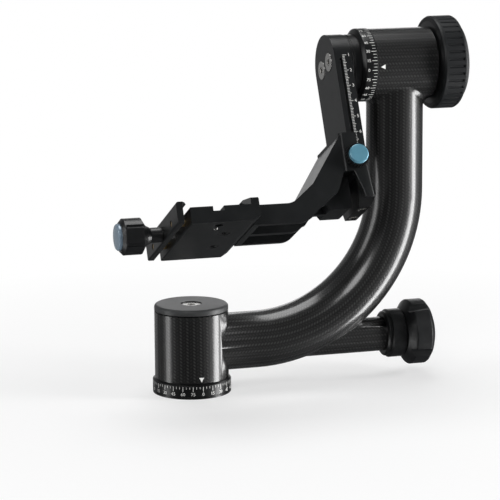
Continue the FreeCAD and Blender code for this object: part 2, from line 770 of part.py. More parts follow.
def height_lock_knob():
    """Black knurled ring with its stud."""
    face = -(bar_half_w + body_gap + flange_t) - body_gap
    knob = bar_y(lock_ring_r, face - lock_ring_h, face, lock_x, lock_z)
    notches = []
    for i in range(24):
        a = 2 * math.pi * i / 24
        x = lock_x + (lock_ring_r + 0.25) * math.cos(a)
        z = lock_z + (lock_ring_r + 0.25) * math.sin(a)
        notches.append(bar_y(0.6, face - lock_ring_h - 1, face - 0.8, x, z))
    knob = knob.cut(notches)
    seat = bar_y(lock_cap_r + seat_gap, face - lock_ring_h - 1, face - lock_ring_h + 1.4,
                 lock_x, lock_z)
    knob = knob.cut(seat)
    tip = -bar_half_w - 2 * body_gap - gib_h
    stud = bar_y(lock_stud_r, face - 1, tip, lock_x, lock_z)
    return knob.fuse(stud)


def height_lock_cap():
    """Round coloured cap pressed in the ring."""
    face = -(bar_half_w + body_gap + flange_t) - body_gap
    y1 = face - lock_ring_h + 1.4
    y0 = face - lock_ring_h - lock_cap_h
    cap = bar_y(lock_cap_r, y0, y1, lock_x, lock_z)
    rim = []
    for edge in cap.Edges:
        if edge.BoundBox.YMax < y0 + 0.1 and edge.BoundBox.XLength > 1:
            rim.append(edge)
    return cap.makeFillet(0.9, rim)


# CLAMP, drawn about the tilt axis at the origin


def clamp_body():
    """Long body with raised pads, a cross notch and a fixed dovetail jaw with cut lead-ins."""
    x0 = clamp_left_x
    x1 = clamp_right_x
    tip_z = jaw_top - jaw_tip_drop
    root_x = fixed_tip_x + dovetail_depth
    body = slab([(x0, clamp_bottom, 0.8), (x0, clamp_floor, 0.4), (root_x, clamp_floor, 0),
                 (fixed_tip_x, tip_z, 0.3), (fixed_tip_x + 1.2, jaw_top, 0.3), (x1, jaw_top, 0.8),
                 (x1, arm_bottom + 0.8, 0), (clamp_under_x, clamp_bottom, 0.8)],
                -clamp_half_len, clamp_half_len)
    notch = block(notch_x0, notch_x1, -clamp_half_len - 1, clamp_half_len + 1,
                  clamp_floor - notch_depth, clamp_floor + 1)
    body = body.cut(notch)
    for side in (-1, 1):
        end = side * clamp_half_len
        lead = Part.makePolygon([V(fixed_tip_x - 0.5, end, 0), V(fixed_tip_x + 4.6, end, 0),
                                 V(fixed_tip_x - 0.5, end - side * 7.0, 0),
                                 V(fixed_tip_x - 0.5, end, 0)])
        lead = Part.Face(lead).extrude(V(0, 0, 12))
        lead.translate(V(0, 0, clamp_floor + 0.01))
        body = body.cut(lead)
        shank = bar_x(pin_r + run_gap, x0 - 1, x0 + 16.0, side * pin_y, pin_z)
        body = body.cut(shank)
    body = body.cut(bar_x(clamp_screw_r + run_gap, x0 - 1, x0 + 17.0, 0, clamp_axis_z))
    pocket = block(tongue_left_x - 0.1, x1 + 1, -arm_half_w + 3.0 - seat_gap, arm_half_w - 3.0
                   + seat_gap, arm_bottom + 0.4 - seat_gap, tongue_top + seat_gap)
    body = body.cut(pocket)
    for side in (-1, 1):
        y = side * clamp_bolt_y
        body = body.cut(post(clamp_bolt_shank_r + 0.1, clamp_bottom - 1, clamp_floor - 1.0,
                             clamp_bolt_x, y))
        body = body.cut(post(clamp_bolt_head_r + 0.2, clamp_bottom - 1, arm_bottom + 0.3,
                             clamp_bolt_x, y))
    body = body.cut(post(2.6, clamp_bottom - 1, clamp_bottom + 3.0, -4.0, -32.5))
    body = body.cut(post(stop_pin_r + seat_gap, clamp_bottom - 1, clamp_bottom + 5.0, -4.0, -25.0))
    return body


def clamp_bolts():
    """Two low socket bolts from below that hold the body on the arm's tongue."""
    bolts = []
    for side in (-1, 1):
        y = side * clamp_bolt_y
        bolt = post(clamp_bolt_head_r, clamp_bottom + 0.2, arm_bottom + 0.3, clamp_bolt_x, y)
        bolt = bolt.fuse(post(clamp_bolt_shank_r, arm_bottom, clamp_floor - 1.2, clamp_bolt_x, y))
        bolts.append(bolt.cut(hex_prism(3.0, 1.2, V(clamp_bolt_x, y, clamp_bottom), V(0, 0, 1))))
    return Part.makeCompound(bolts)


def clamp_stop_pin():
    """Small bright pin under the near end of the body."""
    return post(stop_pin_r, clamp_bottom - 0.4, clamp_bottom + 5.0, -4.0, -25.0)


def moving_jaw():
    """Plate with an inward dovetail lip, a hole for the screw and two for the pins."""
    x1 = jaw_inner_x
    x0 = x1 - jaw_t
    tip_z = jaw_top - jaw_tip_drop
    tip_x = x1 + dovetail_depth
    jaw = slab([(x0, jaw_bottom, 1.0), (x0, jaw_top, 1.6), (tip_x - 1.0, jaw_top, 0.3),
                (tip_x, tip_z, 0.3), (x1, tip_z - dovetail_depth, 0.2), (x1, jaw_bottom, 0.4)],
               -clamp_half_len, clamp_half_len)
    for side in (-1, 1):
        end = side * clamp_half_len
        lead = Part.makePolygon([V(tip_x + 0.5, end, 0), V(x1, end, 0),
                                 V(tip_x + 0.5, end - side * 4.0, 0), V(tip_x + 0.5, end, 0)])
        lead = Part.Face(lead).extrude(V(0, 0, 14))
        lead.translate(V(0, 0, tip_z - dovetail_depth - 0.5))
        jaw = jaw.cut(lead)
        jaw = jaw.cut(bar_x(pin_r + seat_gap, x0 - 1, x1 + 1, side * pin_y, pin_z))
    return jaw.cut(bar_x(clamp_screw_r + run_gap, x0 - 1, x1 + 1, 0, clamp_axis_z))


def jaw_guide_pins():
    """Two pins pressed in the jaw that slide in the body."""
    x0 = jaw_inner_x - jaw_t
    pins = []
    for side in (-1, 1):
        pins.append(bar_x(pin_r, x0 + 0.4, clamp_left_x + 7.0, side * pin_y, pin_z))
    return Part.makeCompound(pins)


def clamp_screw():
    """Threaded spindle of the clamp with its collar inside the knob's neck."""
    return bar_x(clamp_screw_r, clamp_knob_left_x + 4.0, clamp_left_x + 11.0, 0, clamp_axis_z)


def clamp_knob():
    """Knob with six broad lobes, a flared neck and a sleeve that bears on the jaw."""
    x0 = clamp_knob_left_x
    x1 = clamp_knob_right_x
    face = jaw_inner_x - jaw_t - body_gap
    points = [(x0, 0), (x0, clamp_knob_r - 2.0), (x0 + 1.8, clamp_knob_r),
              (x1 - 2.6, clamp_knob_r), (x1, clamp_knob_r - 4.2), (x1 + 0.8, clamp_knob_r - 5.0),
              (clamp_neck_x - 0.8, clamp_sleeve_r + 0.5), (clamp_neck_x, clamp_sleeve_r),
              (face, clamp_sleeve_r), (face, 0)]
    knob = turned(points, clamp_axis_z)
    valleys = []
    for i in range(clamp_valleys):
        a = math.radians(clamp_valley_phase + 360.0 * i / clamp_valleys)
        r = clamp_knob_r + 0.3
        y = -r * math.cos(a)
        z = clamp_axis_z + r * math.sin(a)
        valleys.append(bar_x(clamp_valley_r, x0 + 2.6, x1 + 1, y, z))
    knob = knob.cut(valleys)
    knob = knob.cut(bar_x(clamp_cap_r + seat_gap, x0 - 1, x0 + 1.2, 0, clamp_axis_z))
    return knob.cut(bar_x(clamp_screw_r + seat_gap, x0 + 3.9, face + 1, 0, clamp_axis_z))


def clamp_knob_cap():
    """Round coloured disc with a domed face in the end of the clamp knob."""
    x0 = clamp_knob_left_x
    points = [(x0 + 1.2, 0), (x0 + 1.2, clamp_cap_r), (x0 - 1.4, clamp_cap_r),
              (x0 - 2.2, clamp_cap_r - 0.7), (x0 - clamp_cap_h, clamp_cap_r - 2.6),
              (x0 - clamp_cap_h - 0.4, 0)]
    return turned(points, clamp_axis_z)


save("base_scale_ring", base_scale_ring())
save("base_screws", base_screws())
save("pan_spindle", pan_spindle())
save("base_thread_insert", base_thread_insert())
save("spindle_retainer", spindle_retainer())
save("carbon_arm", carbon_arm())
save("base_liner", base_liner())
save("pan_bearings", pan_bearings())
save("base_cap", base_cap())
save("base_cap_screw", base_cap_screw())
save("pan_brake_shoe", pan_brake_shoe())
save("pan_lock_rod", pan_lock_rod())
save("pan_lock_collar", pan_lock_collar())
save("pan_lock_knob", pan_lock_knob())
save("housing_liner", housing_liner())
save("tilt_bearings", tilt_bearings())
save("tilt_axle", tilt_axle())
save("tilt_scale_ring", tilt_scale_ring())
save("tilt_brake_disc", tilt_brake_disc())
save("tilt_knob_core", tilt_knob_core())
save("tilt_knob_tyre", tilt_knob_tyre())
save("tilt_knob_cap", tilt_knob_cap())
save("swing_bar", hang(swing_bar()))
save("swing_bar_screws", hang(swing_bar_screws()))
save("bar_end_stop", hang(bar_end_stop()))
save("end_stop_screws", hang(end_stop_screws()))
save("height_bracket", hang(height_bracket()))
save("height_gib", hang(height_gib()))
save("height_lock_knob", hang(height_lock_knob()))
save("height_lock_cap", hang(height_lock_cap()))
save("clamp_body", hang(clamp_body()))
save("clamp_bolts", hang(clamp_bolts()))
save("clamp_stop_pin", hang(clamp_stop_pin()))
save("moving_jaw", hang(moving_jaw()))
save("jaw_guide_pins", hang(jaw_guide_pins()))
save("clamp_screw", hang(clamp_screw()))
save("clamp_knob", hang(clamp_knob()))
save("clamp_knob_cap", hang(clamp_knob_cap()))
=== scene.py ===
import math

import bpy
from mathutils import Matrix, Vector


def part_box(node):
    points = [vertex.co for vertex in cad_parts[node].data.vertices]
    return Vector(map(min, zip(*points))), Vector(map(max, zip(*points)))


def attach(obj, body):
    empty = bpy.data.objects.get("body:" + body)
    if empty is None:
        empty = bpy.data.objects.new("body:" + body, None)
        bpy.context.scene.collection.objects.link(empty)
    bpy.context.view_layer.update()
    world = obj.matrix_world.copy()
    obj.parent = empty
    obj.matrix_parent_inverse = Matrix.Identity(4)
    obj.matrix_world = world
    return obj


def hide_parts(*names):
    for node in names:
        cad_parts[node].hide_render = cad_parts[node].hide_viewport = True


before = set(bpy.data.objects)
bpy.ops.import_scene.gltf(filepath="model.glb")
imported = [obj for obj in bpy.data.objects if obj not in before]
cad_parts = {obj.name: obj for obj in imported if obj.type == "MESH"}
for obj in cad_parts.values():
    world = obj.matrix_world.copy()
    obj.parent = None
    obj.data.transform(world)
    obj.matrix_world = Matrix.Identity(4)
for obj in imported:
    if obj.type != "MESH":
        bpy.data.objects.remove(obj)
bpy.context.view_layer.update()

# Base scale ring. Turned aluminium, black anodised, with a bevelled upper edge. It stays still
# while the arm turns, and its white engraved marks are read against the pointer on the tube.
mm = 0.001


class Wire:
    """One output of a node, so that patterns are written as sums."""

    def __init__(self, paint, node, output=0):
        self.paint = paint
        self.node = node
        self.output = output

    def out(self, output):
        return Wire(self.paint, self.node, output)

    def _do(self, operation, *parts):
        return self.paint.add("ShaderNodeMath", {"operation": operation}, dict(enumerate(parts)))

    def __add__(self, other):
        return self._do("ADD", self, other)

    __radd__ = __add__

    def __sub__(self, other):
        return self._do("SUBTRACT", self, other)

    def __rsub__(self, other):
        return self._do("SUBTRACT", other, self)

    def __mul__(self, other):
        return self._do("MULTIPLY", self, other)

    __rmul__ = __mul__

    def __mod__(self, other):
        return self._do("FLOORED_MODULO", self, other)

    def __rmod__(self, other):
        return self._do("FLOORED_MODULO", other, self)

    def __lt__(self, other):
        return self._do("LESS_THAN", self, other)

    def __gt__(self, other):
        return self._do("GREATER_THAN", self, other)

    def floor(self):
        return self._do("FLOOR", self)

    def sine(self):
        return self._do("SINE", self)

    def root(self):
        return self._do("SQRT", self)

    def high(self, other):
        return self._do("MAXIMUM", self, other)

    def low(self, other):
        return self._do("MINIMUM", self, other)

    def angle(self, other):
        return self._do("ARCTAN2", self, other)

    def choose(self, if_one, if_zero):
        return self * if_one + (1 - self) * if_zero


class Paint:
    """A finish, or the air of the studio, built from nodes."""

    def __init__(self, owner, sheet="ShaderNodeOutputMaterial"):
        self.owner = owner
        self.sheet = sheet
        owner.use_nodes = True
        self.tree = owner.node_tree
        self.tree.nodes.clear()

    def add(self, kind, settings, inputs, output=0):
        node = self.tree.nodes.new(kind)
        for key, value in settings.items():
            setattr(node, key, value)
        for key, value in inputs.items():
            if isinstance(value, Wire):
                self.tree.links.new(value.node.outputs[value.output], node.inputs[key])
            else:
                node.inputs[key].default_value = value
        return Wire(self, node, output)

    def place(self):
        return self.add("ShaderNodeTexCoord", {}, {}, "Object")

    def grain(self, per_metre, detail=2.0, rough=0.5):
        return self.add("ShaderNodeTexNoise", {}, {
            "Vector": self.place(), "Scale": per_metre, "Detail": detail, "Roughness": rough})

    def blend(self, amount, first, second):
        return self.add("ShaderNodeMix", {"data_type": "RGBA"}, {0: amount, 6: first, 7: second}, 2)

    def relief(self, height, depth, strength):
        return self.add("ShaderNodeBump", {}, {
            "Height": height, "Distance": depth, "Strength": strength})

    def show(self, shader):
        self.add(self.sheet, {}, {"Surface": shader})
        return self.owner

    def surface(self, **inputs):
        named = {key.replace("_", " ").title().replace("Ior", "IOR"): value
                 for key, value in inputs.items()}
        return self.show(self.add("ShaderNodeBsdfPrincipled", {}, named))


def anodised_finish(name, dark, light, shine):
    """Anodised metal: a fine blasted grain, and a faint cloudiness in tone and gloss."""
    paint = Paint(bpy.data.materials.new(name))
    cloud = paint.grain(per_metre=90.0, detail=3.0)
    sand = paint.grain(per_metre=5200.0, detail=1.0)
    cloud_share, sand_share = 0.1, 0.08
    gloss = cloud * cloud_share + sand * sand_share + (shine - (cloud_share + sand_share) / 2)
    return paint.surface(base_color=paint.blend(cloud, dark, light), metallic=0.1, roughness=gloss,
                         normal=paint.relief(sand, depth=0.02 * mm, strength=0.5),
                         specular_ior_level=0.4)


black_anodised = anodised_finish("anodised", dark=(0.004, 0.0042, 0.0045, 1),
                                 light=(0.008, 0.0085, 0.0088, 1), shine=0.30)


def welded_copy(node, body, finish, roll=0.0, turn=34.0):
    """Copy of a solid with its facets joined, its sharp edges rolled and its curves smooth.

    An edge is sharp from turn degrees up. A finish has the name of its slot."""
    weld_reach = 0.002 * mm
    flat_below = math.radians(0.4)
    face_weight = 60
    bpy.ops.object.select_all(action="DESELECT")
    piece = bpy.data.objects.new(node + "_shown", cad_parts[node].data.copy())
    bpy.context.scene.collection.objects.link(piece)
    piece.select_set(True)
    bpy.context.view_layer.objects.active = piece
    bpy.ops.object.mode_set(mode="EDIT")
    bpy.ops.mesh.select_all(action="SELECT")
    bpy.ops.mesh.remove_doubles(threshold=weld_reach)
    bpy.ops.mesh.dissolve_limited(angle_limit=flat_below)
    bpy.ops.mesh.normals_make_consistent(inside=False)
    bpy.ops.object.mode_set(mode="OBJECT")
    if roll > 0:
        edge = piece.modifiers.new("rolled_edges", "BEVEL")
        edge.limit_method = "ANGLE"
        edge.angle_limit = math.radians(turn)
        edge.width = roll
        edge.segments = 2
        edge.use_clamp_overlap = True
        bpy.ops.object.modifier_apply(modifier=edge.name)
    bpy.ops.object.shade_smooth_by_angle(angle=math.radians(turn))
    even = piece.modifiers.new("even_shading", "WEIGHTED_NORMAL")
    even.keep_sharp = True
    even.weight = face_weight
    bpy.ops.object.modifier_apply(modifier=even.name)
    piece.data.materials.clear()
    piece.data.materials.append(finish)
    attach(piece, body)
    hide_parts(node)


welded_copy("base_scale_ring", "base", black_anodised, roll=0.15 * mm)

# Scale marks of the ring. White filled engraving: a short line every five degrees, a long one
# every fifteen with its number below it, the numbers running from 0 to 75 in each quarter turn.
paint = Paint(bpy.data.materials.new("white_marks"))
wear = paint.grain(per_metre=2500.0)
white_marks = paint.surface(
    base_color=paint.blend(wear, (0.62, 0.62, 0.60, 1), (0.86, 0.86, 0.84, 1)),
    roughness=wear * 0.2 + 0.4)


def flat_line(width, height):
    """Thin raised line, drawn flat, with its edges rolled."""
    thickness = 0.03 * mm
    edge_width = 0.03 * mm
    bpy.ops.object.select_all(action="DESELECT")
    bpy.ops.mesh.primitive_cube_add(size=1.0, location=(0, 0, 0))
    line = bpy.context.active_object
    bpy.ops.object.mode_set(mode="EDIT")
    bpy.ops.mesh.select_all(action="SELECT")
    bpy.ops.transform.resize(value=(width, height, thickness))
    bpy.ops.mesh.select_all(action="DESELECT")
    bpy.ops.object.mode_set(mode="OBJECT")
    for face in line.data.polygons:
        face.select = face.normal.z > 0.9
    bpy.ops.object.mode_set(mode="EDIT")
    bpy.ops.mesh.inset(thickness=edge_width)
    bpy.ops.object.mode_set(mode="OBJECT")
    return line


def flat_number(words, size):
    """Small number, drawn flat and made a mesh."""
    bpy.ops.object.select_all(action="DESELECT")
    bpy.ops.object.text_add(location=(0, 0, 0))
    number = bpy.context.active_object
    number.data.body = words
    number.data.size = size
    number.data.align_x = "CENTER"
    number.data.align_y = "CENTER"
    number.data.resolution_u = 3
    number.data.extrude = 0.015 * mm
    bpy.ops.object.convert(target="MESH")
    return bpy.context.active_object


def repeated(mark, places):
    """A flat mark at the first place, and a copy of it with its own mesh at each other place."""
    marks = [mark]
    for _ in places[1:]:
        copy = mark.copy()
        copy.data = mark.data.copy()
        bpy.context.scene.collection.objects.link(copy)
        marks.append(copy)
    for each, (x, y) in zip(marks, places):
        each.location = (x, y, 0)
    return marks


def circle_scale(long_line, long_depth, short_line, short_depth, size, number_depth, place):
    """Flat marks of a whole circle, each where place puts its degree and its depth."""
    marks = repeated(long_line, [place(degree, long_depth) for degree in range(0, 360, 15)])
    marks += repeated(short_line, [place(degree, short_depth)
                                   for degree in range(0, 360, 5) if degree % 15])
    for number in range(0, 90, 15):
        marks += repeated(flat_number(str(number), size),
                          [place(degree, number_depth) for degree in range(number, 360, 90)])
    return marks


def around_upright(radius, zero, lift=0.0):
    """Wraps flat marks round an upright tube, from the angle zero about its axis."""
    def bend(along, height, out):
        angle = zero + along / radius
        reach = radius + out + lift
        return Vector((reach * math.cos(angle), reach * math.sin(angle), height))
    return bend


def laid_on(name, flat_pieces, bend, body):
    """Joins flat marks into one white piece and lays each point on the curved or flat wall."""
    bpy.ops.object.select_all(action="DESELECT")
    for piece in flat_pieces:
        piece.select_set(True)
    bpy.context.view_layer.objects.active = flat_pieces[0]
    bpy.ops.object.transform_apply(location=True, rotation=True, scale=True)
    bpy.ops.object.join()
    marks = bpy.context.active_object
    marks.name = name
    for point in marks.data.vertices:
        point.co = bend(*point.co)
    marks.data.materials.clear()
    marks.data.materials.append(white_marks)
    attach(marks, body)


mark_lift = 0.01 * mm
ring_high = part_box("base_scale_ring")[1]
ring_radius = ring_high.x
ring_marks = circle_scale(
    long_line=flat_line(width=0.32 * mm, height=3.0 * mm), long_depth=2.75 * mm,
    short_line=flat_line(width=0.26 * mm, height=1.4 * mm), short_depth=2.0 * mm,
    size=2.9 * mm, number_depth=6.1 * mm,
    place=lambda degree, depth: (math.radians(degree) * ring_radius, ring_high.z - depth))
laid_on("base_scale_marks", ring_marks,
        around_upright(ring_radius, math.radians(-88.9), mark_lift), "base")

# Spindle, thread bush, ring screws and retaining nut. Turned stainless steel, seen only from
# below and in cut; the lathe leaves fine rings on them.
def steel_finish(name, colour, shine):
    """Bright steel with fine lathe lines and a little unevenness."""
    paint = Paint(bpy.data.materials.new(name))
    lines = paint.grain(per_metre=900.0, rough=0.6)
    line_tone = 0.82
    worn = tuple(line_tone * c for c in colour)
    return paint.surface(base_color=paint.blend(lines, worn + (1,), colour + (1,)), metallic=1.0,
                         roughness=lines * 0.16 + shine,
                         normal=paint.relief(lines, depth=0.01 * mm, strength=0.4))


stainless = steel_finish("stainless", colour=(0.66, 0.65, 0.63), shine=0.2)
for node in ("pan_spindle", "base_thread_insert", "base_screws", "spindle_retainer"):
    welded_copy(node, "base", stainless, roll=0.1 * mm)

# Curved arm. Woven carbon laid over a mould in one piece with the base tube, the lock branch and
# the tilt housing, then lacquered, so the tows follow each tube and lie under a clear gloss coat.
bend_x = 42.5 * mm
bend_z = 122.5 * mm
bend_radius = 92.5 * mm
tilt_height = 201.3 * mm
branch_height = 27.4 * mm
branch_from_x = 60 * mm
head_from_x = 115.5 * mm
head_from_z = 170 * mm
base_reach = 23.6 * mm
head_reach = 22.9 * mm
branch_reach = 11.3 * mm
tow_width = 1.475 * mm
tows_a_repeat = 4.0
tows_on_top = 2
# Painted sheen: how much lighter the base colour is made on a warp crown, on a weft crown and along
# the fibres.
warp_painted_sheen = 0.034
weft_painted_sheen = 0.014
fibre_painted_sheen = 0.003


def woven_carbon():
    """Twill of flat tows that follows each tube. Its base colour has a painted sheen on each tow's
    crown, stronger on warp tows than on weft tows, and painted shade where a tow dips under the
    next.
    """
    paint = Paint(bpy.data.materials.new("carbon"))
    parts = paint.add("ShaderNodeSeparateXYZ", {}, {"Vector": paint.place()})
    x, y, z = parts.out(0), parts.out(1), parts.out(2)
    up = z - tilt_height
    down = z - branch_height
    past_x = x - bend_x
    past_z = z - bend_z
    out_x = past_x.high(0.0)
    out_z = (bend_z - z).high(0.0)
    bow = (out_x * out_x + out_z * out_z).root() - bend_radius
    run = out_x.angle(out_z) * bend_radius + past_x.low(0.0) + past_z.high(0.0)
    in_base = (x * x + y * y) < base_reach ** 2
    in_head = ((y * y + up * up) < head_reach ** 2) * (x > head_from_x) * (z > head_from_z)
    in_branch = ((y * y + down * down) < branch_reach ** 2) * (x > branch_from_x)

    def tows_round(level, count):
        return y.angle(level) * (count / (2 * math.pi))

    around = in_branch.choose(tows_round(down, 68), tows_round(bow, 108))
    around = in_head.choose(tows_round(up, 136), around)
    around = in_base.choose(tows_round(x, 140), around)
    along = in_head.choose(x, in_branch.choose(x, run))
    along = in_base.choose(z, along) * (math.sqrt(2) / tow_width)
    warp = (along + around) * 0.5
    weft = (along - around) * 0.5
    over = ((warp.floor() - weft.floor()) % tows_a_repeat) < tows_on_top - 0.5

    def tow_height(own, other, phase):
        side = ((own % 1.0) * math.pi).sine()
        arc = (((other + phase - own.floor()) % tows_a_repeat) * (math.pi / 2)).sine().high(0.0)
        return side * 0.5 + arc * 0.5

    height = over.choose(tow_height(warp, weft, 1.0), tow_height(weft, warp, 2.0))
    fibres_a_tow = 40.0
    fibre = over.choose((warp * fibres_a_tow).sine(), (weft * fibres_a_tow).sine())
    # Painted light: the base colour rises with the tow's crown height as a painted sheen, so the
    # dips between tows stay dark as painted shade.
    painted_crown_light = height * height * height
    painted_sheen = over.choose(painted_crown_light * warp_painted_sheen, painted_crown_light * weft_painted_sheen) + painted_crown_light * fibre * fibre_painted_sheen
    return paint.surface(
        base_color=paint.blend(painted_sheen.high(0.001), (0.0, 0.0, 0.0, 1), (1.0, 1.0, 0.98, 1)),
        roughness=over.choose(0.36, 0.46), specular_ior_level=0.22,
        normal=paint.relief(height + fibre * 0.03, depth=0.16 * mm, strength=0.8),
        coat_weight=1.0, coat_roughness=0.19, coat_ior=1.5)


welded_copy("carbon_arm", "arm", woven_carbon(), turn=40.0)

# Pointers on the carbon. White printed triangles: one on the base tube that points down at the
# ring's scale, and one on the tilt housing that points left at the tilt scale.
def faces_outwards():
    """Turns all faces of the piece that is being edited outwards."""
    bpy.ops.mesh.select_all(action="SELECT")
    bpy.ops.mesh.normals_make_consistent(inside=False)


def flat_triangle(width, height, x, y, turn):
    """Thin triangle drawn flat, its tip pointing down before it is turned."""
    thickness = 0.04 * mm
    bpy.ops.object.select_all(action="DESELECT")
    bpy.ops.mesh.primitive_circle_add(vertices=3, radius=1.0, fill_type="NGON", location=(0, 0, 0))
    mark = bpy.context.active_object
    corners = [(-width / 2, height / 2), (width / 2, height / 2), (0, -height / 2)]
    c, s = math.cos(turn), math.sin(turn)
    for point, (px, py) in zip(mark.data.vertices, corners):
        point.co = (x + px * c - py * s, y + px * s + py * c, 0)
    bpy.ops.object.mode_set(mode="EDIT")
    bpy.ops.mesh.select_all(action="SELECT")
    bpy.ops.mesh.subdivide(number_cuts=5)
    bpy.ops.mesh.extrude_region_move(TRANSFORM_OT_translate={"value": (0, 0, thickness)})
    faces_outwards()
    bpy.ops.object.mode_set(mode="OBJECT")
    return mark


def around_level(radius, zero, lift=0.0):
    """Wraps flat marks round the level tube of the tilt axle, from the angle zero about it."""
    def bend(x, along, out):
        angle = zero + along / radius
        reach = radius + out + lift
        return Vector((x, -reach * math.cos(angle), tilt_height + reach * math.sin(angle)))
    return bend


laid_on("base_pointer", [flat_triangle(3.2 * mm, 2.9 * mm, x=0, y=11.9 * mm, turn=0.0)],
        around_upright(23.2 * mm, math.radians(-90.4)), "arm")
laid_on("tilt_pointer", [flat_triangle(3.0 * mm, 3.0 * mm, x=119.0 * mm, y=0, turn=-math.pi / 2)],
        around_level(22.6 * mm, math.radians(2.2)), "arm")

# Inner sleeves and bearings. Machined aluminium sleeves glued in the carbon, with ground steel
# ball bearings in them; they show only at the open ends.
bare_aluminium = steel_finish("aluminium_core", colour=(0.56, 0.57, 0.58), shine=0.32)
bearing_steel = steel_finish("bearing_steel", colour=(0.5, 0.5, 0.5), shine=0.16)
welded_copy("base_liner", "arm", bare_aluminium, roll=0.1 * mm)
welded_copy("housing_liner", "arm", bare_aluminium, roll=0.1 * mm)
welded_copy("pan_bearings", "arm", bearing_steel, roll=0.1 * mm)
welded_copy("tilt_bearings", "arm", bearing_steel, roll=0.1 * mm)

# Base cap and its screw. A satin lid with a rolled edge that sits a groove above the carbon, and
# a low bright screw with a hexagon socket sunk in its middle.
# Cap finish: black anodise with a base colour many times lighter. That lighter colour is painted
# light, standing in for the top light on the cap's face.
satin_lid_painted_light = anodised_finish("satin_cap", dark=(0.035, 0.036, 0.037, 1),
                            light=(0.048, 0.049, 0.050, 1), shine=0.42)
welded_copy("base_cap", "arm", satin_lid_painted_light, roll=0.1 * mm, turn=25.0)
welded_copy("base_cap_screw", "arm", stainless, roll=0.12 * mm)

# Pan lock. Brass shoe and steel rod inside, an anodised collar on the branch's end, and a moulded
# black knob with four broad lobes.
def plastic_finish(name, dark, light, shine):
    """Moulded plastic with a fine spark-eroded texture."""
    paint = Paint(bpy.data.materials.new(name))
    cloud = paint.grain(per_metre=140.0)
    spark = paint.grain(per_metre=3600.0, rough=0.6)
    cloud_share, spark_share = 0.06, 0.16
    gloss = spark * spark_share + cloud * cloud_share + (shine - (cloud_share + spark_share) / 2)
    return paint.surface(base_color=paint.blend(cloud, dark, light), roughness=gloss,
                         normal=paint.relief(spark, depth=0.04 * mm, strength=0.5),
                         specular_ior_level=0.5)


paint = Paint(bpy.data.materials.new("brass"))
lines = paint.grain(per_metre=800.0, detail=3.0, rough=0.6)
brass = paint.surface(
    base_color=paint.blend(lines, (0.50, 0.36, 0.17, 1), (0.72, 0.55, 0.30, 1)),
    metallic=1.0, roughness=lines * 0.2 + 0.2)
knob_plastic = plastic_finish("knob_plastic", dark=(0.003, 0.0035, 0.004, 1),
                              light=(0.006, 0.0065, 0.007, 1), shine=0.36)
welded_copy("pan_brake_shoe", "arm", brass, roll=0.1 * mm)
welded_copy("pan_lock_rod", "pan_knob", stainless, roll=0.1 * mm)
welded_copy("pan_lock_collar", "arm", black_anodised, roll=0.12 * mm, turn=20.0)
welded_copy("pan_lock_knob", "pan_knob", knob_plastic, roll=0.5 * mm, turn=26.0)

# Tilt axle and brake disc. The black anodised neck carries the bar on the left; the friction disc
# sits between the housing and the big knob.
friction_lining = plastic_finish("friction", dark=(0.03, 0.027, 0.024, 1),
                                 light=(0.06, 0.055, 0.05, 1), shine=0.7)
welded_copy("tilt_axle", "swing", black_anodised, roll=0.1 * mm, turn=30.0)
welded_copy("tilt_brake_disc", "arm", friction_lining)

# Tilt scale ring. Black anodised like the base ring, with a bevelled left edge; its numbers stand
# upright for someone at the side of the arm, and its lines end at the housing.
welded_copy("tilt_scale_ring", "swing", black_anodised, roll=0.12 * mm, turn=20.0)
dial_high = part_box("tilt_scale_ring")[1]
dial_radius = dial_high.y
dial_marks = circle_scale(
    long_line=flat_line(width=3.2 * mm, height=0.32 * mm), long_depth=2.1 * mm,
    short_line=flat_line(width=2.2 * mm, height=0.26 * mm), short_depth=1.6 * mm,
    size=2.7 * mm, number_depth=5.9 * mm,
    place=lambda degree, depth: (dial_high.x - depth, math.radians(degree) * dial_radius))
laid_on("tilt_scale_marks", dial_marks,
        around_level(dial_radius, math.radians(-2.5), mark_lift), "swing")

# Tilt lock knob. A metal core with a moulded rubber tyre, ribbed between smooth shoulders, and a
# satin end cover.
paint = Paint(bpy.data.materials.new("knob_rubber"))
cloud = paint.grain(per_metre=160.0, detail=3.0)
speck = paint.grain(per_metre=2600.0, detail=3.0, rough=0.7)
knob_rubber = paint.surface(
    base_color=paint.blend(cloud, (0.004, 0.0048, 0.0055, 1), (0.008, 0.009, 0.010, 1)),
    roughness=speck * 0.2 + 0.34, specular_ior_level=0.3,
    normal=paint.relief(speck, depth=0.08 * mm, strength=0.5))
welded_copy("tilt_knob_core", "tilt_knob", black_anodised, roll=0.15 * mm)
welded_copy("tilt_knob_tyre", "tilt_knob", knob_rubber, roll=0.25 * mm, turn=30.0)
# The end cover takes the same cap finish, so its lighter base colour is painted light too.
welded_copy("tilt_knob_cap", "tilt_knob", satin_lid_painted_light, roll=0.15 * mm, turn=20.0)

# Swing bar, its screws and its end stop. Flat bar of dark grey anodised aluminium with a round
# head, two bright countersunk screws, and a foot that keeps the bracket on the rail.
grey_anodised = anodised_finish("anodised_grey", dark=(0.006, 0.0066, 0.007, 1),
                                light=(0.011, 0.012, 0.0125, 1), shine=0.32)
welded_copy("swing_bar", "swing", grey_anodised, roll=0.25 * mm)
welded_copy("swing_bar_screws", "swing", stainless, roll=0.15 * mm)
welded_copy("bar_end_stop", "swing", black_anodised, roll=0.3 * mm)
welded_copy("end_stop_screws", "swing", stainless, roll=0.1 * mm)

# Height scale on both edges of the bar. White filled engraving: millimetre lines beside the rail
# groove, longer at every fifth and longest at each centimetre, with the centimetre numbers.
rest_tilt = math.radians(26.4)
bar_edge = 19.6 * mm
scale_from_x = 93.7 * mm
numbers_x = 97.9 * mm
scale_steps = 72


def beside_bar(x, side, h):
    """Point at x, on the near or far side, h above the tilt axis along the bar."""
    return Vector((x, side * math.cos(rest_tilt) + h * math.sin(rest_tilt),
                   tilt_height - side * math.sin(rest_tilt) + h * math.cos(rest_tilt)))


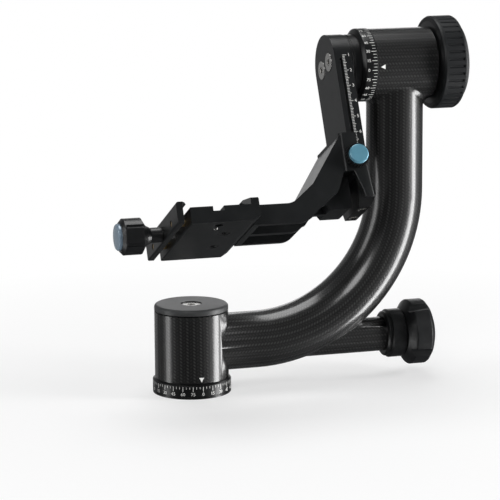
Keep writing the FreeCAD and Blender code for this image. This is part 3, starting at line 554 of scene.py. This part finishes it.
for edge_name, way in (("near", -1), ("far", 1)):
    bar_marks = []
    for width, steps in (
            (2.7 * mm, range(0, scale_steps, 10)),
            (2.2 * mm, range(5, scale_steps, 10)),
            (1.5 * mm, [step for step in range(scale_steps) if step % 5])):
        bar_marks += repeated(flat_line(width, 0.26 * mm),
                              [((scale_from_x + width / 2) * -way, -step * mm) for step in steps])
    for number in range(1, 9):
        bar_marks += repeated(flat_number(str(number), 2.9 * mm),
                              [(numbers_x * -way, (1 - number) * 10 * mm)])
    laid_on("bar_scale_" + edge_name, bar_marks,
            lambda x, h, out: beside_bar(abs(x), way * (bar_edge + out + mark_lift), h), "swing")

# Height bracket and its pad. Cast and machined L-shaped bracket, dark grey anodised, that hooks
# on the bar's rail and carries the clamp on its flat arm.
welded_copy("height_bracket", "cradle", grey_anodised, roll=0.35 * mm, turn=25.0)
welded_copy("height_gib", "cradle", brass, roll=0.1 * mm)

# Bracket leg. The near side of the bracket runs on below the lock knob as a narrow tapering
# flange, in one piece with the bracket, and hides the gap beside the end of the bar.
leg_outline = [(84.4, -60.0), (87.5, -73.2), (90.1, -81.0), (92.6, -88.4), (93.4, -93.3),
               (99.3, -93.0), (98.8, -87.5), (97.4, -70.0), (96.6, -60.0)]
leg_face = -23.4 * mm
leg_back = -20.1 * mm
bpy.ops.object.select_all(action="DESELECT")
bpy.ops.mesh.primitive_circle_add(vertices=len(leg_outline), radius=1.0, fill_type="NGON")
bracket_leg = bpy.context.active_object
bracket_leg.name = "bracket_leg"
for point, (px, pz) in zip(bracket_leg.data.vertices, leg_outline):
    point.co = (px * mm, pz * mm, leg_face)
bpy.ops.object.mode_set(mode="EDIT")
bpy.ops.mesh.select_all(action="SELECT")
bpy.ops.mesh.extrude_region_move(TRANSFORM_OT_translate={"value": (0, 0, leg_back - leg_face)})
faces_outwards()
bpy.ops.object.mode_set(mode="OBJECT")
for point in bracket_leg.data.vertices:
    point.co = beside_bar(point.co.x, point.co.z, point.co.y)
edge = bracket_leg.modifiers.new("rolled_edges", "BEVEL")
edge.limit_method = "ANGLE"
edge.width = 0.6 * mm
edge.segments = 3
bpy.ops.object.modifier_apply(modifier=edge.name)
bpy.ops.object.mode_set(mode="EDIT")
faces_outwards()
bpy.ops.object.mode_set(mode="OBJECT")
bpy.ops.object.shade_smooth_by_angle(angle=math.radians(30))
bracket_leg.data.materials.append(grey_anodised)
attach(bracket_leg, "cradle")

# Height lock knob. A black knurled ring on a stud, with a light blue cap pressed in its face.
# The cap is coloured plastic with a soft gloss.
def glossy_cap_finish(name, dark, light):
    """Coloured cap with a soft gloss and faint swirl."""
    paint = Paint(bpy.data.materials.new(name))
    cloud = paint.grain(per_metre=220.0, detail=3.0)
    return paint.surface(base_color=paint.blend(cloud, dark, light), metallic=0.25,
                         roughness=cloud * 0.12 + 0.26, coat_weight=0.5, coat_roughness=0.12)


light_blue = glossy_cap_finish("blue_cap", dark=(0.095, 0.26, 0.35, 1),
                               light=(0.125, 0.31, 0.41, 1))
welded_copy("height_lock_knob", "height_knob", black_anodised, roll=0.1 * mm)
welded_copy("height_lock_cap", "height_knob", light_blue, roll=0.15 * mm, turn=20.0)

# Clamp. Long body and moving jaw of dark grey anodised aluminium, brass guide pins, steel screw,
# and a moulded knob with six lobes and a grey blue disc in its end.
grey_blue = glossy_cap_finish("grey_blue_cap", dark=(0.17, 0.235, 0.30, 1),
                              light=(0.205, 0.275, 0.345, 1))
welded_copy("clamp_body", "cradle", grey_anodised, roll=0.3 * mm)
welded_copy("clamp_bolts", "cradle", black_anodised, roll=0.1 * mm)
welded_copy("clamp_stop_pin", "cradle", stainless, roll=0.2 * mm)
welded_copy("moving_jaw", "jaw", grey_anodised, roll=0.3 * mm)
welded_copy("jaw_guide_pins", "jaw", brass, roll=0.1 * mm)
welded_copy("clamp_screw", "clamp_knob", stainless, roll=0.1 * mm)
welded_copy("clamp_knob", "clamp_knob", knob_plastic, roll=0.25 * mm, turn=26.0)
welded_copy("clamp_knob_cap", "clamp_knob", grey_blue, roll=0.15 * mm, turn=20.0)

# Studio floor. A wide pale disc that takes the object's shadow near it and fades into the white
# surround with distance. It is kept out of mirror reflections, so that black parts stay black.
floor_middle_x = 0.05
fade_from = 0.12
fade_length = 0.28
glow_near = 0.55
paint = Paint(bpy.data.materials.new("pale_floor"))
tooth = paint.grain(per_metre=300.0)
floor_tone = paint.blend(tooth, (0.86, 0.86, 0.86, 1), (0.9, 0.9, 0.9, 1))
matt = paint.add("ShaderNodeBsdfPrincipled", {}, {"Base Color": floor_tone, "Roughness": 0.8})
glow = paint.add("ShaderNodeEmission", {}, {"Color": (1, 1, 1, 1), "Strength": 1.0})
seen = paint.add("ShaderNodeLightPath", {}, {}, "Is Camera Ray")
spread = paint.add("ShaderNodeSeparateXYZ", {}, {"Vector": paint.place()})
side = spread.out(0) - floor_middle_x
deep = spread.out(1)
far = (side * side + deep * deep).root()
fade = ((far - fade_from) * (1 / fade_length)).high(0.0).low(1.0)
amount = seen * (fade * (1 - glow_near) + glow_near)
pale_floor = paint.show(paint.add("ShaderNodeMixShader", {}, {0: amount, 1: matt, 2: glow}))
bpy.ops.object.select_all(action="DESELECT")
bpy.ops.mesh.primitive_circle_add(vertices=96, radius=3.0, fill_type="NGON", location=(0, 0, 0))
floor = bpy.context.active_object
floor.name = "studio_floor"
floor.data.materials.append(pale_floor)
floor.visible_glossy = False
floor.visible_shadow = False

# Studio air and lights. The surround is white to the camera and dim to everything else; soft
# boxes stand at both sides, behind, overhead and in front.
air = Paint(bpy.data.worlds.new("studio_air"), "ShaderNodeOutputWorld")
dim = air.add("ShaderNodeBackground", {}, {"Color": (0.95, 0.97, 1.0, 1), "Strength": 0.08})
white = air.add("ShaderNodeBackground", {}, {"Color": (1, 1, 1, 1), "Strength": 1.0})
seen = air.add("ShaderNodeLightPath", {}, {}, "Is Camera Ray")
bpy.context.scene.world = air.show(
    air.add("ShaderNodeMixShader", {}, {0: seen, 1: dim, 2: white}))


def soft_box(name, place, aim, width, height, power):
    """Rectangular soft light that faces a point."""
    bpy.ops.object.light_add(type="AREA", location=place)
    lamp = bpy.context.active_object
    lamp.name = name
    lamp.data.shape = "RECTANGLE"
    lamp.data.size = width
    lamp.data.size_y = height
    lamp.data.energy = power
    lamp.rotation_euler = (Vector(aim) - Vector(place)).to_track_quat("-Z", "Y").to_euler()


soft_box("left_box", (-1.1, 0.05, 0.05), (0.03, 0, 0.1), width=0.34, height=1.7, power=6.5)
soft_box("right_box", (1.05, -0.42, 0.0), (0.07, 0, 0.1), width=0.36, height=1.7, power=26)
soft_box("back_box", (-0.5, 1.6, 0.2), (0.05, 0, 0.12), width=1.1, height=1.4, power=0.9)
soft_box("slope_box", (0.28, 1.55, -0.05), (0.08, 0, 0.14), width=0.35, height=0.5, power=0.4)
soft_box("far_box", (0.62, 1.5, 0.4), (0.0, 0, 0.06), width=0.8, height=0.6, power=1.8)
soft_box("top_box", (0.05, 0.25, 1.3), (0.05, 0, 0.1), width=0.8, height=0.8, power=10)
soft_box("front_box", (-0.75, -1.4, 1.0), (0.05, 0, 0.12), width=0.7, height=0.5, power=8.5)

# Camera. It stands where the photograph's camera stood, with a long lens, turned a little to the
# right and looking slightly down.
sensor_width = 36.0
focal_pixels = 2321.0
picture_pixels = 500.0
swing = 0.298
dip = 0.189
roll = -0.006
camera_place = Vector((-0.3818, -1.3693, 0.3615))
camera_data = bpy.data.cameras.new("photo_camera")
camera_data.sensor_width = sensor_width
camera_data.lens = sensor_width * focal_pixels / picture_pixels
camera_data.clip_end = 20.0
camera = bpy.data.objects.new("photo_camera", camera_data)
bpy.context.scene.collection.objects.link(camera)
ahead = Vector((math.sin(swing) * math.cos(dip), math.cos(swing) * math.cos(dip), -math.sin(dip)))
right = Vector((math.cos(swing), -math.sin(swing), 0))
above = right.cross(ahead)
right_rolled = right * math.cos(roll) + above * math.sin(roll)
above_rolled = above * math.cos(roll) - right * math.sin(roll)
turned = Matrix((right_rolled, above_rolled, -ahead)).transposed().to_4x4()
camera.matrix_world = Matrix.Translation(camera_place) @ turned
bpy.context.scene.camera = camera
bpy.context.scene.view_settings.view_transform = "Standard"
